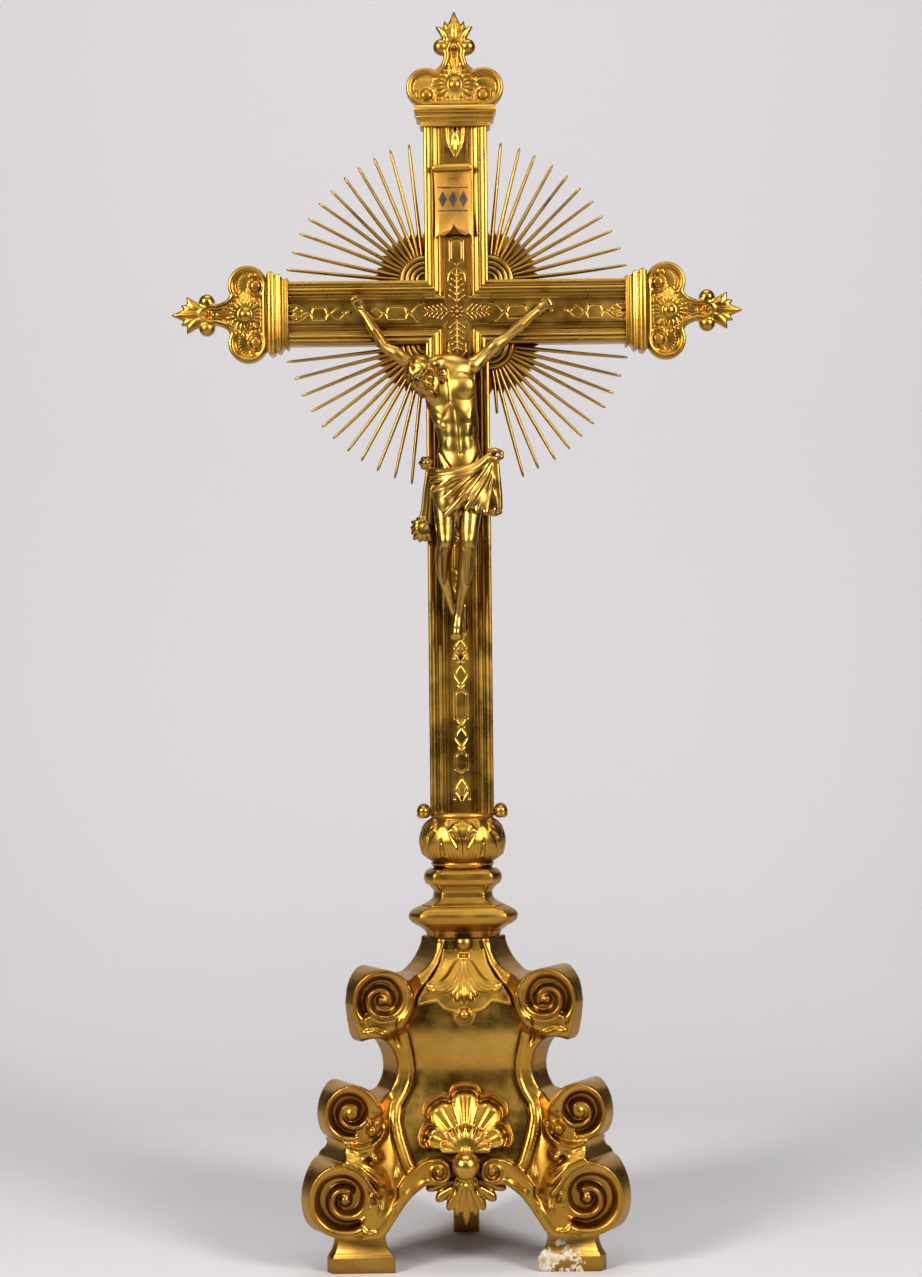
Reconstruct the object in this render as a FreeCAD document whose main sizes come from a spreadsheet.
"""Standing altar cross: a three-sided scrolled base, and a cross that lifts out of it.

Units are millimetres. +Z is up and the front faces -Y. The origin is on the ground, at the
centre of the whole object's bounding box; the axis of the cross stands `axis_y` away from it,
because the third leg reaches further back than the front ones reach forward.
"""
import FreeCAD, Part

import math
import os

import Sketcher
from FreeCAD import Placement, Rotation, Vector

doc = FreeCAD.newDocument("altar_cross")
sheet = doc.addObject("Spreadsheet::Sheet", "dims")

DRIVING = {
    "axis_y": -47.58,
    "cross_height": 1186.0,
    "bar_width": 80.0,
    "bar_depth": 32.0,
    "arm_reach": 212.0,
    "top_reach": 232.0,
    "panel_width": 27.0,
    "panel_sink": 2.5,
    "collar_length": 27.0,
    "collar_depth": 44.0,
    "collar_half": 52.0,
    "collar_neck_half": 44.0,
    "dowel_radius": 5.0,
    "dowel_length": 60.0,
    "finial_depth": 24.0,
    "ray_reach": 225.0,
    "ray_count": 11.0,
    "ray_depth": 5.0,
    "hub_radius": 34.0,
    "hub_depth": 11.0,
    "plate_radius": 62.0,
    "plate_depth": 3.0,
    "plaque_width": 48.0,
    "plaque_height": 84.0,
    "plaque_depth": 3.0,
    "plaque_roll": 5.0,
    "plaque_offset": -3.4,
    "knop_bottom": 486.6,
    "knop_top": 556.0,
    "knop_width": 112.0,
    "knop_depth": 92.0,
    "bead_radius": 8.7,
    "tenon_width": 34.0,
    "tenon_depth": 24.0,
    "tenon_length": 80.0,
    "socket_play": 0.5,
    "neck_bottom": 400.0,
    "neck_middle": 441.6,
    "corner_cut": 14.0,
    "core_bottom": 150.0,
    "panel_board": 14.0,
    "big_scroll_x": 150.3,
    "big_scroll_z": 92.3,
    "big_scroll_radius": 48.7,
    "big_scroll_front": 119.0,
    "small_scroll_x": 141.0,
    "small_scroll_z": 196.0,
    "small_scroll_radius": 35.7,
    "small_scroll_front": 105.0,
    "ear_x": 103.5,
    "ear_z": 331.0,
    "ear_radius": 41.5,
    "ear_front": 86.6,
    "foot_height": 43.0,
    "plinth_height": 20.0,
    "foot_reach": 194.0,
    "foot_inner": 112.0,
    "foot_block": 36.0,
    "foot_middle": 156.0,
    "foot_dowel_radius": 8.0,
    "foot_dowel_reach": 150.0,
    "foot_dowel_length": 50.0,
    "back_leg_width": 36.0,
    "back_leg_top": 108.0,
    "boss_radius": 17.4,
    "boss_z": 132.5,
    "arch_scroll_radius": 16.0,
    "arch_scroll_x": 35.0,
    "arch_scroll_z": 125.5,
    "nail_radius": 2.2,
}


def fill_sheet():
    """Each driving dimension gets a row with its name, its value and an alias."""
    for row, (name, value) in enumerate(DRIVING.items(), start=1):
        sheet.set(f"A{row}", name)
        sheet.set(f"B{row}", str(value))
        sheet.setAlias(f"B{row}", name)
    doc.recompute()


def dim(name):
    """A driving dimension as the sheet holds it."""
    return float(sheet.get(name))


nodes = []


def register(item, label):
    """Give a finished sub-part its own label and keep it for export."""
    item.Label = label
    nodes.append(item)
    return item


def on_axis(turn=0.0):
    """The placement of a shape drawn about the cross axis, turned about that axis."""
    return Placement(Vector(0, dim("axis_y"), 0), Rotation(Vector(0, 0, 1), turn))


def feature(label, shape, turn=0.0):
    """A sub-part whose shape comes from Part's functions."""
    item = doc.addObject("Part::Feature", label)
    item.Shape = shape
    item.Placement = on_axis(turn)
    return register(item, label)


def primitive(kind, name, **expressions):
    """A Part primitive with its sizes bound to the sheet."""
    item = doc.addObject(kind, name)
    for prop, text in expressions.items():
        item.setExpression(prop, text)
    return item


def place(item, x="0", y="0", z="0", turn=None):
    """Bind an object's position to the sheet; y is counted from the cross axis."""
    if turn is not None:
        item.Placement = Placement(Vector(0, 0, 0), turn)
    item.setExpression(".Placement.Base.x", x)
    item.setExpression(".Placement.Base.y", f"dims.axis_y + ({y})")
    item.setExpression(".Placement.Base.z", z)
    return item


def compound_of(label, items):
    """Several identical small pieces kept together in one node."""
    group = doc.addObject("Part::Compound", label)
    group.Links = items
    return register(group, label)


def origin_plane(body, role):
    """One of a body's own origin planes."""
    return next(item for item in body.Origin.OriginFeatures if item.Role == role)


def new_body(name):
    """An empty PartDesign body standing on the cross axis."""
    body = doc.addObject("PartDesign::Body", name)
    body.setExpression(".Placement.Base.y", "dims.axis_y")
    return body


def rectangle_sketch(body, name, role, first, second):
    """A sketch of one rectangle; first and second are (low, high) expressions of its sides."""
    sketch = body.newObject("Sketcher::SketchObject", name)
    sketch.AttachmentSupport = [(origin_plane(body, role), "")]
    sketch.MapMode = "FlatFace"
    corners = [Vector(-1, -1, 0), Vector(1, -1, 0), Vector(1, 1, 0), Vector(-1, 1, 0)]
    for index, start in enumerate(corners):
        sketch.addGeometry(Part.LineSegment(start, corners[(index + 1) % 4]), False)
    for index in range(4):
        sketch.addConstraint(Sketcher.Constraint("Coincident", index, 2, (index + 1) % 4, 1))
    for line in (0, 2):
        sketch.addConstraint(Sketcher.Constraint("Horizontal", line))
        sketch.addConstraint(Sketcher.Constraint("Vertical", line + 1))
    bound = (
        ("DistanceX", 0, 1, -1.0, first[0]),
        ("DistanceX", 1, 1, 1.0, first[1]),
        ("DistanceY", 0, 1, -1.0, second[0]),
        ("DistanceY", 2, 1, 1.0, second[1]),
    )
    for kind, line, point, start, text in bound:
        index = sketch.addConstraint(Sketcher.Constraint(kind, -1, 1, line, point, start))
        sketch.setExpression(f"Constraints[{index}]", text)
    return sketch


def pad(body, name, role, first, second, length):
    """A pad of a bound rectangle, as long as `length` and centred on its plane."""
    item = body.newObject("PartDesign::Pad", name)
    item.Profile = rectangle_sketch(body, name + "_sketch", role, first, second)
    item.SideType = "Symmetric"
    item.setExpression("Length", length)
    body.Tip = item
    return item


def pocket(body, name, role, first, second):
    """A bound rectangle cut right through a body along its plane's normal, both ways."""
    item = body.newObject("PartDesign::Pocket", name)
    item.Profile = rectangle_sketch(body, name + "_sketch", role, first, second)
    item.SideType = "Symmetric"
    item.setExpression("Length", "4 * dims.cross_height")
    body.Tip = item
    return item


# --- The cross: two halved bars, collars, finials and the dowels that hold them ---

FRONT = "-dims.bar_depth / 2"
PANEL_FLOOR = "-dims.bar_depth / 2 + dims.panel_sink"
PANEL = ("-dims.panel_width / 2", "dims.panel_width / 2")
HALF_BAR = ("-dims.bar_width / 2", "dims.bar_width / 2")
ARM_PANEL = (
    "dims.cross_height - dims.panel_width / 2",
    "dims.cross_height + dims.panel_width / 2",
)
ARM_BAND = (
    "dims.cross_height - dims.bar_width / 2",
    "dims.cross_height + dims.bar_width / 2",
)


def bored(label, base, drills):
    """A piece with dowel holes: `base` less the drills, which are Part cylinders."""
    cut = doc.addObject("Part::Cut", label)
    cut.Base = base
    if len(drills) == 1:
        cut.Tool = drills[0]
    else:
        bits = doc.addObject("Part::MultiFuse", label + "_drills")
        bits.Shapes = drills
        cut.Tool = bits
    return register(cut, label)


def arm_dowel(name, side):
    """A dowel through a side collar, from the arm's end grain into its finial."""
    item = primitive(
        "Part::Cylinder", name, Radius="dims.dowel_radius", Height="dims.dowel_length"
    )
    start = "dims.arm_reach + dims.collar_length / 2 - dims.dowel_length / 2"
    turn = Rotation(Vector(0, 1, 0), 90 * side)
    return place(item, x=f"{side} * ({start})", z="dims.cross_height", turn=turn)


def top_dowel(name):
    """The dowel that stands through the top collar."""
    item = primitive(
        "Part::Cylinder", name, Radius="dims.dowel_radius", Height="dims.dowel_length"
    )
    start = "dims.top_reach + dims.collar_length / 2 - dims.dowel_length / 2"
    return place(item, z=f"dims.cross_height + {start}")


def make_upright():
    """The vertical bar, halved behind the crossbar, with its tenon at the foot."""
    body = new_body("upright_blank")
    pad(
        body, "shaft", "XZ_Plane", HALF_BAR,
        ("dims.knop_top", "dims.cross_height + dims.top_reach"), "dims.bar_depth",
    )
    pad(
        body, "tenon", "XZ_Plane",
        ("-dims.tenon_width / 2", "dims.tenon_width / 2"),
        ("dims.knop_bottom - dims.tenon_length", "dims.knop_top + 1"), "dims.tenon_depth",
    )
    pocket(body, "long_panel", "XY_Plane", PANEL, (FRONT, PANEL_FLOOR))
    pocket(body, "cross_panel", "YZ_Plane", (FRONT, PANEL_FLOOR), ARM_PANEL)
    pocket(body, "half_lap", "YZ_Plane", ("0", "dims.bar_depth / 2"), ARM_BAND)
    bored("upright", body, [top_dowel("upright_drill")])


def make_crossbar():
    """The arms in one length, halved in front so that the upright passes over them."""
    body = new_body("crossbar_blank")
    pad(
        body, "arms", "XZ_Plane", ("-dims.arm_reach", "dims.arm_reach"), ARM_BAND,
        "dims.bar_depth",
    )
    pocket(body, "arm_panel", "YZ_Plane", (FRONT, PANEL_FLOOR), ARM_PANEL)
    pocket(body, "arm_half_lap", "XY_Plane", HALF_BAR, (FRONT, "0"))
    bored("crossbar", body, [arm_dowel("left_arm_drill", -1), arm_dowel("right_arm_drill", 1)])


def collar_blank(name):
    """A stepped moulding block, drawn standing on the top end of the upright."""
    body = new_body(name)
    wide = ("-dims.collar_half", "dims.collar_half")
    narrow = ("-dims.collar_neck_half", "dims.collar_neck_half")
    pad(
        body, name + "_neck", "XZ_Plane", narrow, ("0", "dims.collar_length"),
        "dims.collar_depth - 8",
    )
    pad(
        body, name + "_rim", "XZ_Plane", wide,
        ("dims.collar_length * 0.25", "dims.collar_length * 0.8"), "dims.collar_depth",
    )
    return body


def make_collar(label, side):
    """One collar; side is 0 at the top, -1 on the left arm and 1 on the right arm."""
    body = collar_blank(label + "_blank")
    turn = Rotation(Vector(0, 1, 0), 90 * side)
    if side:
        place(body, x=f"{side} * dims.arm_reach", z="dims.cross_height", turn=turn)
        drill = arm_dowel(label + "_drill", side)
    else:
        place(body, z="dims.cross_height + dims.top_reach", turn=turn)
        drill = top_dowel(label + "_drill")
    bored(label, body, [drill])


def plate(points, depth, front):
    """A flat piece: an outline of (x, z) points, its front at y = -front, going back."""
    wire = Part.makePolygon([Vector(x, -front, z) for x, z in points + points[:1]])
    return Part.Face(wire).extrude(Vector(0, depth, 0))


def disc(x, z, radius, depth, front):
    """A round slice seen from the front, its front at y = -front."""
    return Part.makeCylinder(radius, depth, Vector(x, -front, z), Vector(0, 1, 0))


def fused(shapes):
    """One solid from overlapping ones, with its split faces joined where that holds."""
    whole = shapes[0].multiFuse(shapes[1:])
    joined = whole.removeSplitter()
    return joined if joined.isValid() else whole


def finial_shape():
    """A fleur: two scrolls, a waisted stem with two balls, and a three-lobed leaf.

    It stands on z = 0, the collar's outer face.
    """
    depth = dim("finial_depth")
    front = depth / 2
    scroll_height = 17.0
    scroll_across = 36.5
    stem = [(-50, 0), (50, 0), (48, 30), (26, 42), (15, 60), (13, 90), (-13, 90), (-15, 60)]
    stem += [(-26, 42), (-48, 30)]
    leaf = [(-11, 80), (11, 80), (26, 97), (20, 107), (12, 106), (0, 121)]
    leaf += [(-12, 106), (-20, 107), (-26, 97)]
    parts = [plate(stem, depth, front), plate(leaf, depth * 0.7, front * 0.7)]
    for side in (-1, 1):
        parts.append(disc(side * scroll_across, scroll_height, 25.5, depth, front))
        parts.append(Part.makeSphere(10.5, Vector(side * 16.7, 0, 71)))
        eye = Vector(side * scroll_across, -front + 1, scroll_height)
        parts.append(Part.makeSphere(8.5, eye))
    parts.append(Part.makeSphere(9.5, Vector(0, -front + 1, 28)))
    whole = fused(parts)
    below = Part.makeBox(200, 200, 100, Vector(-100, -100, -100))
    hole_depth = (dim("dowel_length") - dim("collar_length")) / 2
    drill = Part.makeCylinder(dim("dowel_radius"), hole_depth)
    return whole.cut(below).cut(drill)


def make_finials():
    """The same carved finial on three ends of the cross."""
    shape = finial_shape()
    outer = dim("arm_reach") + dim("collar_length")
    ends = {
        "top_finial": (0, dim("cross_height") + dim("top_reach") + dim("collar_length"), 0),
        "left_finial": (-outer, dim("cross_height"), -90),
        "right_finial": (outer, dim("cross_height"), 90),
    }
    for label, (x, z, turn) in ends.items():
        item = feature(label, shape)
        item.Placement = Placement(
            Vector(x, dim("axis_y"), z), Rotation(Vector(0, 1, 0), turn)
        )


# --- The glory: four quarter hubs in the corners of the cross, each with its rays ---

QUARTERS = {
    "upper_right": (1, 1),
    "lower_right": (1, -1),
    "lower_left": (-1, -1),
    "upper_left": (-1, 1),
}
FIRST_RAY = 6.0
LAST_RAY = 84.0
RAY_ROOT = 3.2
RAY_TIP = 1.8
BROKEN_RAY = ("lower_right", 10)
BROKEN_LENGTH = 88.0


def ray_length(angle):
    """How far a ray runs from the cross's inner corner to the circle of the tips."""
    corner = dim("bar_width") / 2
    along = corner * (math.cos(angle) + math.sin(angle))
    return -along + math.sqrt(along**2 + dim("ray_reach") ** 2 - 2 * corner**2)


def mirrored_to(points, quarter):
    """Outline points drawn about the inner corner, moved to one quarter of the cross."""
    right, up = quarter
    corner = dim("bar_width") / 2
    return [(right * (x + corner), dim("cross_height") + up * (z + corner)) for x, z in points]


def make_rays():
    """Eleven tapered strips a quarter, in front of their plate and butted on the hub."""
    count = int(dim("ray_count"))
    step = (LAST_RAY - FIRST_RAY) / (count - 1)
    for name, quarter in QUARTERS.items():
        rays = []
        for index in range(count):
            angle = math.radians(FIRST_RAY + index * step)
            reach = ray_length(angle)
            if (name, index) == BROKEN_RAY:
                reach = BROKEN_LENGTH
            start = dim("hub_radius") + 0.2
            along = (math.cos(angle), math.sin(angle))
            outline = []
            for distance, half in (
                (start, -RAY_ROOT), (reach, -RAY_TIP), (reach, RAY_TIP), (start, RAY_ROOT)
            ):
                x = distance * along[0] - half * along[1]
                z = distance * along[1] + half * along[0]
                outline.append((x, z))
            rays.append(plate(mirrored_to(outline, quarter), dim("ray_depth"), 0))
        feature(name + "_rays", Part.makeCompound(rays))


def make_hubs():
    """Quarter discs with a wider notched plate behind that carries the rays."""
    steps = 8
    for name, quarter in QUARTERS.items():
        fan = [(0.0, 0.0)]
        for index in range(2 * steps + 1):
            angle = math.radians(90 * index / (2 * steps))
            radius = dim("plate_radius") - 5 * (index % 2)
            fan.append((radius * math.cos(angle), radius * math.sin(angle)))
        back = plate(mirrored_to(fan, quarter), dim("plate_depth"), -dim("ray_depth"))
        arc = [(0.0, 0.0)]
        for index in range(steps + 1):
            angle = math.radians(90 * index / steps)
            radius = dim("hub_radius")
            arc.append((radius * math.cos(angle), radius * math.sin(angle)))
        front = dim("hub_depth") - dim("ray_depth")
        disc_part = plate(mirrored_to(arc, quarter), dim("hub_depth") + 1, front)
        feature(name + "_hub", fused([disc_part, back]))


# --- The title plaque and its nail ---


def make_plaque():
    """A thin scroll sheet with a rolled top edge, blank in front."""
    depth = dim("plaque_depth")
    front = dim("bar_depth") / 2 + depth
    half = dim("plaque_width") / 2
    x = dim("plaque_offset")
    top = dim("cross_height") + 96 + dim("plaque_height")
    roll = dim("plaque_roll")
    low = top - dim("plaque_height")
    outline = [(x - half, top), (x - half, low - 6), (x - half + 10, low + 3), (x, low + 6)]
    outline += [(x + half - 10, low + 3), (x + half, low - 6), (x + half, top)]
    sheet_part = plate(outline, depth, front)
    ledge = Part.makeBox(2 * half, roll + depth, roll * 2)
    ledge.translate(Vector(x - half, -front - roll, top - roll))
    hole = disc(x, top - 13, dim("nail_radius"), 60, 60)
    feature("title_plaque", fused([sheet_part, ledge]).cut(hole))
    nail = disc(x, top - 13, dim("nail_radius"), depth + 2, front + 2)
    head = Part.makeSphere(4.0, Vector(x, -front - 2.0, top - 13))
    outside = Part.makeBox(20, 20, 20, Vector(x - 10, -front - 20.0, top - 23))
    feature("title_nail", fused([nail, head.common(outside)]))


# --- The figure: body, two doweled-on arms, draped loincloth, crown and nails ---


def figure_point(across, forward, up):
    """A point given from the crossing's centre and the bars' front face."""
    front = dim("bar_depth") / 2
    return Vector(across, -front - forward, dim("cross_height") + up)


def limb(stations):
    """Rounded tube through (across, forward, up, radius) stations."""
    parts = []
    centres = [(figure_point(*station[:3]), station[3]) for station in stations]
    for centre, radius in centres:
        parts.append(Part.makeSphere(radius, centre))
    for (start, first), (end, second) in zip(centres, centres[1:]):
        along = end - start
        if abs(first - second) < 0.05:
            parts.append(Part.makeCylinder(first, along.Length, start, along))
        else:
            parts.append(Part.makeCone(first, second, along.Length, start, along))
    return parts[0].multiFuse(parts[1:])


def oval(across, forward, up, half_width, half_depth):
    """A level oval wire about a point of the figure."""
    centre = figure_point(across, forward, up)
    if half_width >= half_depth:
        curve = Part.Ellipse(centre, half_width, half_depth)
        return Part.Wire([curve.toShape()])
    curve = Part.Ellipse(centre, half_depth, half_width)
    wire = Part.Wire([curve.toShape()])
    wire.rotate(centre, Vector(0, 0, 1), 90)
    return wire


HEAD = (-36.0, 38.0, -79.0)
HEAD_RADIUS = 17.0
LEFT_ARM = [(-50, 14, -72, 9.5), (-95, 10, -42, 7.5), (-120, 7, 2, 5), (-130, 7, 14, 5)]
RIGHT_ARM = [(24, 14, -64, 9.5), (65, 10, -32, 7.5), (101, 7, 0, 5), (118, 7, 8, 5)]
LEFT_LEG = [(-14, 20, -205, 15), (-18, 32, -291, 10.5), (-8, 14, -378, 6)]
RIGHT_LEG = [(13, 20, -205, 15), (11, 34, -291, 11), (-2, 22, -378, 6.5)]
FEET = [(-4, 18, -380, 8), (-4, 21, -396, 8), (-4, 25, -409, 6.5)]
TORSO = [
    (-12, 20, -66, 40, 14),
    (-9, 22, -100, 32, 19),
    (-2, 21, -140, 26, 15),
    (0, 21, -170, 27, 16),
    (0, 20, -212, 31, 17),
]
CLOTH = [
    (2, 22, -176, 34, 20),
    (3, 24, -205, 39, 23.5),
    (1, 24, -252, 34, 23),
]
HAND_NAILS = [(-121, 4), (104, 2)]
FOOT_NAIL = (-4, -397)
HAND_NAIL_STAND = 17.0
FOOT_NAIL_STAND = 33.0


def nail_shape(across, up, stand):
    """A round nail with a domed head, its shank ending at the bars' front."""
    start = figure_point(across, 0, up)
    shank = Part.makeCylinder(dim("nail_radius"), stand, start, Vector(0, -1, 0))
    head = Part.makeCone(4.2, 2.4, 2.5, figure_point(across, stand, up), Vector(0, -1, 0))
    return fused([shank, head])


def make_figure():
    """The carved figure, its separate pieces cut so that each has its own room."""
    bars = Part.makeBox(2000, 400, 2000, Vector(-1000, -dim("bar_depth") / 2, 0))
    hand_nails = [nail_shape(*spot, HAND_NAIL_STAND) for spot in HAND_NAILS]
    nails = Part.makeCompound(hand_nails + [nail_shape(*FOOT_NAIL, FOOT_NAIL_STAND)])
    torso = Part.makeLoft([oval(*station) for station in TORSO], True)
    neck = limb([(-16, 22, -66, 11), (-30, 32, -74, 9)])
    head = limb([(*HEAD, HEAD_RADIUS), (HEAD[0] - 2, HEAD[1] + 2, HEAD[2] - 11, 11)])
    legs = [limb(LEFT_LEG), limb(RIGHT_LEG), limb(FEET)]
    body = torso.multiFuse([neck, head] + legs).cut(bars).cut(nails)
    feature("corpus", body)
    for label, stations in (("left_arm", LEFT_ARM), ("right_arm", RIGHT_ARM)):
        feature("corpus_" + label, limb(stations).cut(bars).cut(body).cut(nails))
    cloth = Part.makeLoft([oval(*station) for station in CLOTH], True)
    knot = limb([(38, 24, -178, 9), (42, 20, -215, 8), (40, 16, -246, 9)])
    fall = limb([(-34, 22, -182, 9), (-40, 14, -240, 7), (-46, 12, -262, 12)])
    feature("loincloth", cloth.multiFuse([knot, fall]).cut(bars).cut(body))
    crown_centre = figure_point(HEAD[0] - 2, HEAD[1] + 1, HEAD[2] + 6)
    crown = Part.makeTorus(HEAD_RADIUS - 0.5, 4.2, crown_centre, Vector(-0.3, -0.2, 1))
    ring = max(crown.cut(body).cut(bars).Solids, key=lambda solid: solid.Volume)
    feature("crown_of_thorns", ring)
    feature("corpus_nails", nails)


# --- The knop that the cross rises from ---


def make_knop():
    """A swelling oval bulb with a mortise for the upright's tenon."""
    low = dim("knop_bottom")
    high = dim("knop_top")
    stations = [(0.0, 0.69), (0.25, 0.93), (0.5, 1.0), (0.75, 0.93), (1.0, 0.74)]
    wires = []
    for share, width in stations:
        centre = Vector(0, 0, low + share * (high - low))
        half_width = width * dim("knop_width") / 2
        half_depth = width * dim("knop_depth") / 2
        wires.append(Part.Wire([Part.Ellipse(centre, half_width, half_depth).toShape()]))
    bulb = Part.makeLoft(wires, True)
    width = dim("tenon_width")
    depth = dim("tenon_depth")
    mortise = Part.makeBox(width, depth, 200, Vector(-width / 2, -depth / 2, low - 50))
    feature("knop", bulb.cut(mortise))


def make_beads():
    """Four small balls that touch the upright's corners and the knop's shoulders."""
    balls = []
    for right in ("", "-"):
        for back in ("", "-"):
            ball = primitive(
                "Part::Sphere", f"bead_{len(balls) + 1}", Radius="dims.bead_radius"
            )
            place(
                ball,
                x=f"{right}(dims.bar_width / 2 + dims.bead_radius)",
                y=f"{back}(dims.bar_depth / 2 - 3)",
                z="dims.knop_top + 2.2",
            )
            balls.append(ball)
    compound_of("knop_beads", balls)


# --- The base: neck mouldings, core, three panels, three corners and their carving ---

CORNERS = {"front_right": 0, "back": 120, "front_left": 240}
CORNER_ANGLE = -30
SIDES = {"front": 0, "right": 120, "left": 240}
NECK_LOWER = [
    (0.0, 46), (9, 49), (13, 54), (15.5, 57), (17, 60.5), (20, 65), (24, 68), (28, 69), (32, 68),
    (36, 64), (39.5, 57), (41.6, 52.5),
]
NECK_UPPER = [
    (0.0, 51.5), (2.4, 46), (5.4, 41), (8.1, 38.6), (13.6, 37.4), (15.2, 36.8), (18.4, 38.5),
    (22.4, 41.7), (24.8, 45), (27.4, 47.6), (31.4, 49.2), (35.1, 49.4), (39.4, 48.4), (43.4, 45),
    (44.7, 42),
]
PANEL_PROFILE = [
    (400, 34), (376, 41), (345, 57), (310, 67), (278, 68), (243, 62), (216, 67), (194, 76),
    (162, 88), (130, 97), (100, 102), (56, 106),
]
PANEL_HALF = [
    (400, 30), (376, 37), (345, 59), (295, 74), (243, 64), (215, 71), (194, 83), (162, 77),
    (135, 68), (112, 62),
]


def corner_cut_wire(half_width, cut, z):
    """A triangle with cut corners, flat in front, as wide as asked from the front."""
    reach = (half_width - cut / 4) / math.cos(math.radians(30))
    points = []
    for corner in (-30, 90, 210):
        angle = math.radians(corner)
        along = Vector(math.cos(angle), math.sin(angle), 0)
        across = Vector(-math.sin(angle), math.cos(angle), 0)
        points.append(along * reach - across * cut / 2 + Vector(0, 0, z))
        points.append(along * reach + across * cut / 2 + Vector(0, 0, z))
    return Part.makePolygon(points + points[:1])


def make_neck():
    """Two stacked mouldings with a square socket through both."""
    play = 2 * dim("socket_play")
    width = dim("tenon_width") + play
    depth = dim("tenon_depth") + play
    socket = Part.makeBox(width, depth, 400, Vector(-width / 2, -depth / 2, 300))
    for label, start, profile in (
        ("neck_lower", dim("neck_bottom"), NECK_LOWER),
        ("neck_upper", dim("neck_middle"), NECK_UPPER),
    ):
        wires = [
            corner_cut_wire(half, dim("corner_cut") + half * 0.25, start + rise)
            for rise, half in profile
        ]
        feature(label, Part.makeLoft(wires, True, True).cut(socket))


def panel_face(offset):
    """The (y, z) line of a side's face, moved out by an offset."""
    return [(-(reach + offset), z) for z, reach in PANEL_PROFILE]


def side_board(outer, inner, outline):
    """A board that follows the side's curve, cut to an outline seen from the front."""
    points = panel_face(outer) + panel_face(inner)[::-1]
    wire = Part.makePolygon([Vector(-150, y, z) for y, z in points + points[:1]])
    board = Part.Face(wire).extrude(Vector(300, 0, 0))
    return board.common(plate(outline, 400, 200))


def both_sides(half_outline):
    """A closed outline from the points of its right half, listed downwards."""
    return half_outline + [(-x, z) for x, z in half_outline[::-1]]


def panel_outline():
    """The panel's outline seen from the front."""
    return both_sides([(half, z) for z, half in PANEL_HALF])


def side_half_space(apothem):
    """Everything outside the right side's face, which turns the front face by 120 degrees."""
    box = Part.makeBox(800, 1200, 900, Vector(apothem, -600, -100))
    box.rotate(Vector(0, 0, 0), Vector(0, 0, 1), 30)
    return box


def corner_block(face, apothem):
    """A front outline carried round the corner to the next side, square to the corner."""
    across = Vector(math.cos(math.radians(60)), math.sin(math.radians(60)), 0)
    return face.extrude(across * 320).cut(side_half_space(apothem))


def outline_face(points, apothem):
    """A flat face at a side's front plane from (x, z) points."""
    wire = Part.makePolygon([Vector(x, -apothem, z) for x, z in points + points[:1]])
    return Part.Face(wire)


def disc_face(x, z, radius, apothem):
    """A round face at a side's front plane."""
    ring = Part.Circle(Vector(x, -apothem, z), Vector(0, 1, 0), radius)
    return Part.Face(Part.Wire([ring.toShape()]))


def mirrored_pair(shape):
    """A piece of the front right corner and its twin on the next side."""
    across = Vector(math.cos(math.radians(60)), math.sin(math.radians(60)), 0)
    return [shape, shape.mirror(Vector(0, 0, 0), across)]


def leg_shape():
    """Lower corner: two scrolls, the sweeping band and the small scroll at the arch."""
    big = dim("big_scroll_front")
    small = dim("small_scroll_front")
    band = [
        (62, 112), (78, 86), (92, 60), (108, 43), (150, 43), (150, 130), (118, 150), (70, 135),
    ]
    web = [
        (64, 243), (85, 246), (98, 226), (118, 214), (138, 196), (150, 150), (118, 112),
        (62, 112), (68, 135), (77, 162), (83, 194), (71, 215),
    ]
    outer = dim("big_scroll_radius") - 2
    inner = dim("small_scroll_radius") - 2
    parts = [
        corner_block(disc_face(dim("big_scroll_x") - 3, dim("big_scroll_z"), outer, big), big),
        corner_block(outline_face(band, big - 6), big - 6),
        corner_block(outline_face(web, small - 17), small - 17),
        corner_block(
            disc_face(dim("small_scroll_x") - 3, dim("small_scroll_z"), inner, small), small
        ),
    ]
    arch_x = dim("arch_scroll_x")
    arch_z = dim("arch_scroll_z")
    radius = dim("arch_scroll_radius")
    parts += mirrored_pair(disc(arch_x, arch_z, radius, 34, big))
    bridge = [(arch_x, arch_z + radius), (arch_x, arch_z + 4), (62, 112), (80, 128), (66, 136)]
    parts += mirrored_pair(plate(bridge, 34, big - 6))
    return fused(parts)


def narrowed(shape):
    """A corner's leg or foot with both cheeks cut back to the narrow support at the back."""
    half = dim("back_leg_width") / 2
    reach = dim("foot_reach") + dim("big_scroll_radius")
    size = Vector(reach, reach / 2, dim("back_leg_top"))
    cheeks = []
    for start in (half, -half - size.y):
        cheek = Part.makeBox(size.x, size.y, size.z, Vector(0, start, 0))
        cheeks.append(cheek.rotated(Vector(), Vector(0, 0, 1), CORNER_ANGLE))
    return shape.cut(Part.makeCompound(cheeks))


def ear_shape():
    """Upper corner: the ear volute with its pointed tail, and the flank up to the neck."""
    front = dim("ear_front")
    radius = dim("ear_radius") - 3
    x = dim("ear_x") - 2
    z = dim("ear_z")
    tail = [
        (x + radius, z), (129, 278), (112, 284), (96, 274), (86, 256), (85, 246), (72, 262),
        (76, 295), (x - radius, z),
    ]
    flank = [
        (30, 400), (39, 400), (44, 384), (56, 370), (80, 362), (90, 330), (86, 256), (85, 246),
        (64, 243), (74, 295), (59, 345), (37, 376),
    ]
    return fused(
        [
            corner_block(disc_face(x, z, radius, front), front),
            corner_block(outline_face(tail, front - 3), front - 3),
            corner_block(outline_face(flank, front - 22), front - 22),
        ]
    )


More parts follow.
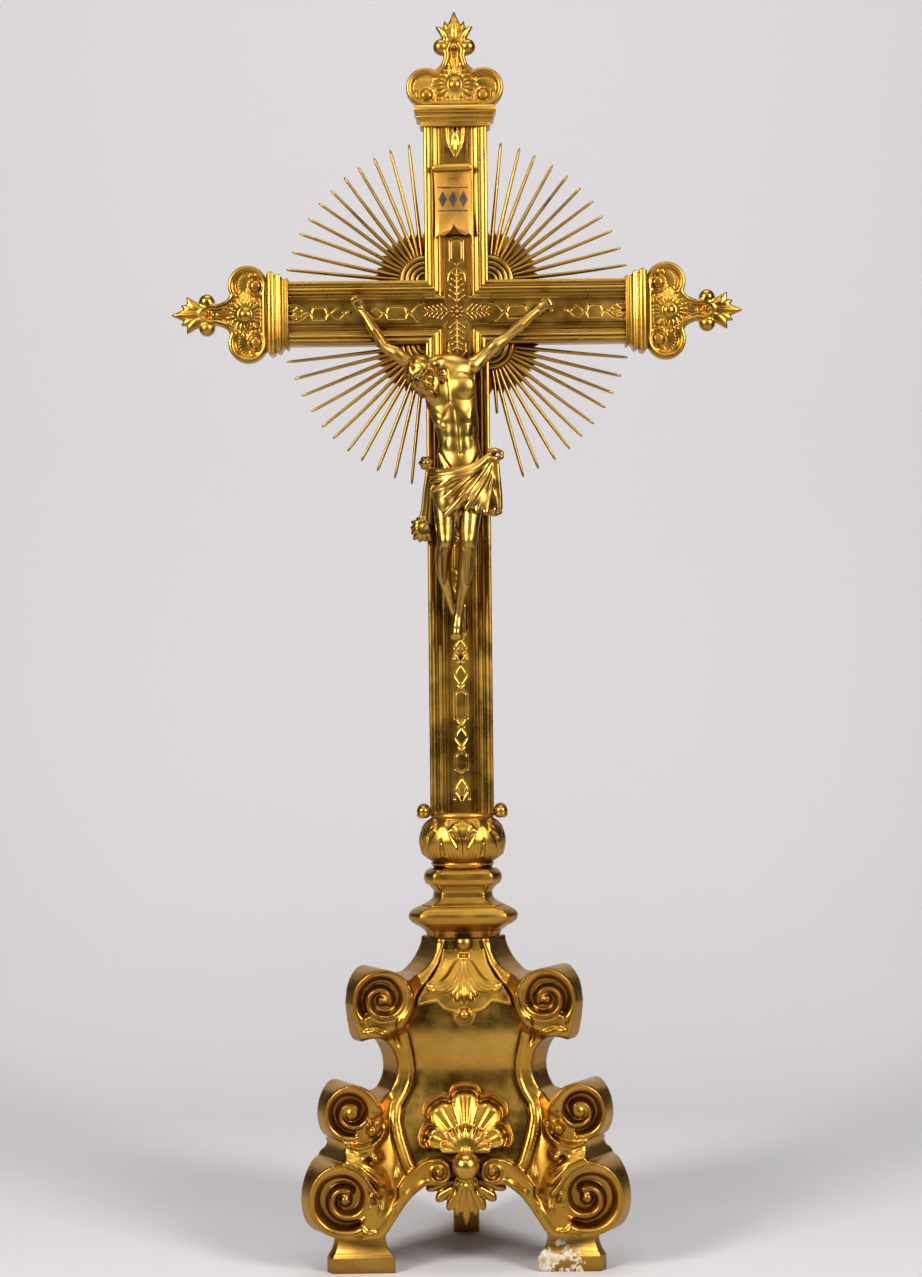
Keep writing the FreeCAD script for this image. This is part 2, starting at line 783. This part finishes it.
def foot_shape():
    """A moulded foot: plinth, hollow moulding above it and a plain block towards the middle."""
    reach = dim("foot_reach")
    plan = [(reach, 8), (reach, -8), (127, -46), (119, -18), (119, 18), (127, 46)]

    def ring(scale, z):
        middle = dim("foot_middle")
        points = [Vector(middle + (r - middle) * scale, t * scale, z) for r, t in plan]
        return Part.makePolygon(points + points[:1])

    plinth_height = dim("plinth_height")
    height = dim("foot_height")
    plinth = Part.Face(ring(1.0, 0)).extrude(Vector(0, 0, plinth_height))
    steps = [(0.97, plinth_height), (0.86, plinth_height + 6), (0.75, plinth_height + 15)]
    hollow = Part.makeLoft([ring(*step) for step in steps + [(0.71, height)]], True, True)
    inner = dim("foot_inner")
    block_width = dim("foot_block")
    block = Part.makeBox(dim("foot_middle") - inner, block_width, height)
    block.translate(Vector(inner, -block_width / 2, 0))
    foot = fused([plinth, hollow, block])
    foot.rotate(Vector(0, 0, 0), Vector(0, 0, 1), CORNER_ANGLE)
    return foot


def foot_dowel_shape():
    """The dowel that stands in a foot and enters its leg."""
    angle = math.radians(CORNER_ANGLE)
    reach = dim("foot_dowel_reach")
    centre = Vector(reach * math.cos(angle), reach * math.sin(angle), dim("plinth_height"))
    return Part.makeCylinder(dim("foot_dowel_radius"), dim("foot_dowel_length"), centre)


def core_shape():
    """The glued block inside the panels that the corners are fixed to."""
    board = dim("panel_board")
    sections = [(z, reach - board) for z, reach in PANEL_PROFILE if z >= dim("core_bottom")]
    wires = []
    for z, apothem in sections:
        wires.append(corner_cut_wire(apothem * 1.33, apothem * 0.72, z))
    return Part.makeLoft(wires, True, True)


LAMBREQUIN = [
    (27, 398), (34, 374), (52, 344), (62, 311), (44, 308), (35, 312), (26, 306), (18, 310),
    (17, 304), (11, 296), (0, 293),
]
SHELL = [(16, 230), (38, 222), (43, 196), (54, 192), (55, 165), (50, 150), (30, 146), (14, 138)]
PENDANT = [(16, 118), (30, 108), (52, 107), (54, 96), (40, 86), (28, 74), (12, 72), (0, 57)]


def make_base():
    """The base from its core outwards; each piece gives way to the ones laid before it."""
    core = core_shape()
    panel = side_board(0, -dim("panel_board"), panel_outline())
    panels = [panel.copy().rotated(Vector(), Vector(0, 0, 1), turn) for turn in (0, 120, 240)]
    core = core.cut(Part.makeCompound(panels))
    inside = Part.makeCompound([core] + panels)
    dowel = foot_dowel_shape()
    leg = leg_shape().cut(inside).cut(dowel)
    ear = ear_shape().cut(inside).cut(leg)
    foot = foot_shape().cut(dowel).cut(leg)
    feature("base_core", core)
    for name, turn in SIDES.items():
        feature(name + "_panel", panel, turn)
    for name, turn in CORNERS.items():
        plain = name == "back"
        feature(name + "_leg", narrowed(leg) if plain else leg, turn)
        feature(name + "_volute", ear, turn)
        feature(name + "_foot", narrowed(foot) if plain else foot, turn)
    legs = Part.makeCompound([leg, leg.rotated(Vector(), Vector(0, 0, 1), 240)])
    ears = Part.makeCompound([ear, ear.rotated(Vector(), Vector(0, 0, 1), 240)])
    lambrequin = side_board(4.5, 0, both_sides(LAMBREQUIN)).cut(ears)
    boss = Part.makeSphere(
        dim("boss_radius"), Vector(0, -dim("big_scroll_front") + 4, dim("boss_z"))
    )
    shell = side_board(20, 0, both_sides(SHELL)).cut(legs).cut(boss)
    pendant = side_board(16, -4, both_sides(PENDANT))
    for neighbour in (panel, legs, boss, shell):
        pendant = pendant.cut(neighbour)
    for name, turn in SIDES.items():
        feature(name + "_lambrequin", lambrequin, turn)
        feature(name + "_shell", shell, turn)
        feature(name + "_boss", boss.cut(panel), turn)
        feature(name + "_pendant_leaf", pendant, turn)
    dowels = [dowel.rotated(Vector(), Vector(0, 0, 1), turn) for turn in (0, 120, 240)]
    feature("foot_dowels", Part.makeCompound(dowels))


def check(item):
    """Stop if an object failed or a sub-part has no valid shape."""
    bad = [flag for flag in item.State if flag in ("Invalid", "Error")]
    if bad:
        raise RuntimeError(f"{item.Name} is {bad}")


def main():
    """Build every sub-part, check them all and write one STEP file each."""
    fill_sheet()
    make_upright()
    make_crossbar()
    make_collar("top_collar", 0)
    make_collar("left_collar", -1)
    make_collar("right_collar", 1)
    compound_of(
        "finial_dowels",
        [top_dowel("top_dowel"), arm_dowel("left_dowel", -1), arm_dowel("right_dowel", 1)],
    )
    make_finials()
    make_rays()
    make_hubs()
    make_plaque()
    make_figure()
    make_knop()
    make_beads()
    make_neck()
    make_base()
    doc.recompute()
    for item in doc.Objects:
        check(item)
    for item in nodes:
        if item.Shape.isNull() or not item.Shape.isValid() or not item.Shape.Solids:
            raise RuntimeError(f"{item.Label} has no valid solid")
    os.makedirs("parts", exist_ok=True)
    whole = FreeCAD.BoundBox()
    for item in nodes:
        item.Shape.exportStep(f"parts/{item.Label}.step")
        whole.add(item.Shape.BoundBox)
        print(item.Label, len(item.Shape.Solids), round(item.Shape.Volume / 1000, 1))
    print("nodes", len(nodes), "box", whole)


main()
